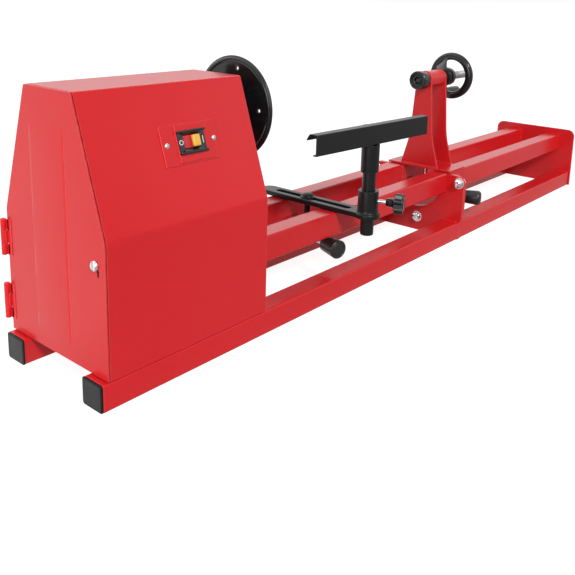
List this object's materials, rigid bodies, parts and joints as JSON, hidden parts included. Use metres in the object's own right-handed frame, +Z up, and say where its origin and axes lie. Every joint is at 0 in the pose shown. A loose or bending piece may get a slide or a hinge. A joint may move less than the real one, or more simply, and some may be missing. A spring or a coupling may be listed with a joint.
{
  "type": "wood lathe",
  "caption": "Benchtop wood lathe: red tubular bed in two bolted halves, sheet-metal headstock with stepped belt drive, swivelling tool rest and screw-feed tailstock.",
  "frame": {"origin": "on the floor at the middle of the whole machine's bounding box", "axes": "+X from the headstock to the tail end, -Y the operator's side with the switch and the tool rest, +Z up"},
  "size_m": [1.405, 0.2822, 0.3726],
  "materials": {
    "red_paint": "glossy powder coat",
    "black_paint": "satin",
    "black_plastic": "satin moulded",
    "zinc": "bright zinc plating",
    "steel": "turned",
    "aluminium": "turned casting",
    "rubber": "matt",
    "motor_paint": "satin",
    "red_plastic": "glossy",
    "yellow_plastic": "glossy"
  },
  "bodies": {
    "frame": {"base_rail_front_head": "red_paint", "base_rail_rear_head": "red_paint", "base_rail_front_tail": "red_paint", "base_rail_rear_tail": "red_paint", "bed_rail_front_head": "red_paint", "bed_rail_rear_head": "red_paint", "bed_rail_front_tail": "red_paint", "bed_rail_rear_tail": "red_paint", "joint_plate_head": "red_paint", "joint_plate_tail": "red_paint", "joint_bolt_front": "zinc", "joint_bolt_rear": "zinc", "joint_bolt_low": "zinc", "tail_plate": "red_paint", "end_cap_front": "black_plastic", "end_cap_rear": "black_plastic", "headstock_bulkhead": "red_paint", "headstock_cover": "red_paint", "hinge_leaf_lower": "red_paint", "hinge_leaf_upper": "red_paint", "switch_plate": "red_paint", "switch_body": "black_plastic", "switch_screw_left": "zinc", "switch_screw_right": "zinc", "cable_gland": "black_plastic", "bearing_bracket": "red_paint", "spindle_bearing_front": "steel", "spindle_bearing_rear": "steel", "motor_body": "motor_paint", "drive_belt": "rubber"},
    "door": {"headstock_door": "red_paint"},
    "latch": {"door_latch": "zinc"},
    "spindle_group": {"spindle": "steel", "spindle_pulley": "aluminium", "faceplate": "black_paint"},
    "motor_rotor": {"motor_shaft": "steel", "motor_pulley": "aluminium"},
    "rocker": {"switch_rocker": "red_plastic"},
    "key": {"switch_key": "yellow_plastic"},
    "rest_clamp": {"rest_clamp_plate": "zinc"},
    "rest_bolt": {"rest_clamp_bolt": "black_paint"},
    "arm": {"rest_arm": "black_paint"},
    "post": {"rest_post": "black_paint"},
    "tool_rest": {"rest_bar": "black_paint"},
    "collar_grub": {"collar_screw": "zinc"},
    "knob": {"post_knob": "black_plastic"},
    "rest_handle": {"rest_lever": "zinc", "rest_lever_grip": "black_plastic"},
    "tailstock": {"tail_base": "red_paint", "tail_cheek_left": "red_paint", "tail_cheek_right": "red_paint", "tail_barrel": "red_paint", "tail_clamp_bolt": "zinc", "tail_clamp_plate": "zinc"},
    "tail_handle": {"tail_lever": "zinc", "tail_lever_grip": "black_plastic"},
    "wheel": {"handwheel": "black_paint"},
    "crank": {"crank_grip": "black_plastic"},
    "feed_screw": {"tail_screw": "steel"},
    "centre": {"live_centre": "black_paint"}
  },
  "joints": [
    {"name": "door_hinge", "type": "hinge", "parent": "frame", "child": "door", "pos_m": [-0.696, 0.13658, 0.115], "axis": [0, 0, 1], "range_deg": [-110, 0]},
    {"name": "latch_turn", "type": "hinge", "parent": "door", "child": "latch", "pos_m": [-0.693, -0.04752, 0.167], "axis": [1, 0, 0], "range_deg": [0, 90]},
    {"name": "spindle_spin", "type": "hinge", "parent": "frame", "child": "spindle_group", "pos_m": [-0.5245, 0.03308, 0.3004], "axis": [1, 0, 0], "continuous": true},
    {"name": "motor_spin", "type": "hinge", "parent": "frame", "child": "motor_rotor", "pos_m": [-0.6225, 0.03308, 0.192], "axis": [1, 0, 0], "continuous": true},
    {"name": "switch_paddle", "type": "hinge", "parent": "frame", "child": "rocker", "pos_m": [-0.5455, -0.03389, 0.28046], "axis": [1, 0, 0], "range_deg": [-6, 6]},
    {"name": "switch_key_pull", "type": "slide", "parent": "rocker", "child": "key", "axis": [0, -0.9478, 0.3189], "range_m": [0, 0.012]},
    {"name": "rest_slide", "type": "slide", "parent": "frame", "child": "rest_clamp", "axis": [1, 0, 0], "range_m": [-0.12, 0.24]},
    {"name": "arm_swing", "type": "hinge", "parent": "rest_clamp", "child": "rest_bolt", "pos_m": [-0.2295, 0.03308, 0.13], "axis": [0, 0, 1], "range_deg": [-10, 25]},
    {"name": "arm_reach", "type": "slide", "parent": "rest_bolt", "child": "arm", "axis": [0, 1, 0], "range_m": [-0.05, 0.028]},
    {"name": "post_height", "type": "slide", "parent": "arm", "child": "post", "axis": [0, 0, 1], "range_m": [-0.028, 0.035]},
    {"name": "rest_swivel", "type": "hinge", "parent": "post", "child": "tool_rest", "pos_m": [-0.2295, -0.08492, 0.2412], "axis": [0, 0, -1], "range_deg": [-45, 45]},
    {"name": "collar_grub_turn", "type": "hinge", "parent": "tool_rest", "child": "collar_grub", "pos_m": [-0.2125, -0.08492, 0.2065], "axis": [1, 0, 0], "range_deg": [0, 720]},
    {"name": "post_knob_turn", "type": "hinge", "parent": "arm", "child": "knob", "pos_m": [-0.21973, -0.11329, 0.154], "axis": [0.3256, -0.9455, 0], "range_deg": [0, 720]},
    {"name": "rest_lever_turn", "type": "hinge", "parent": "rest_clamp", "child": "rest_handle", "pos_m": [-0.2295, 0.03308, 0.07], "axis": [0, 0, 1], "range_deg": [-75, 80]},
    {"name": "tailstock_slide", "type": "slide", "parent": "frame", "child": "tailstock", "axis": [-1, 0, 0], "range_m": [-0.45, 0.025]},
    {"name": "tail_lever_turn", "type": "hinge", "parent": "tailstock", "child": "tail_handle", "pos_m": [0.1495, 0.03308, 0.07], "axis": [0, 0, 1], "range_deg": [-20, 120]},
    {"name": "handwheel_turn", "type": "hinge", "parent": "tailstock", "child": "wheel", "pos_m": [0.229, 0.03308, 0.3004], "axis": [-1, 0, 0], "range_deg": [0, 3960]},
    {"name": "screw_feed", "type": "slide", "parent": "tailstock", "child": "feed_screw", "axis": [-1, 0, 0], "range_m": [0, 0.045]},
    {"name": "centre_spin", "type": "hinge", "parent": "feed_screw", "child": "centre", "pos_m": [0.1045, 0.03308, 0.3004], "axis": [1, 0, 0], "continuous": true},
    {"name": "crank_spin", "type": "hinge", "parent": "wheel", "child": "crank", "pos_m": [0.2575, 0.05158, 0.2664], "axis": [1, 0, 0], "continuous": true}
  ],
  "couplings": [
    {"joint": "motor_spin", "follows": "spindle_spin", "ratio": 2.9286},
    {"joint": "screw_feed", "follows": "handwheel_turn", "m_per_rad": 0.00063662}
  ]
}
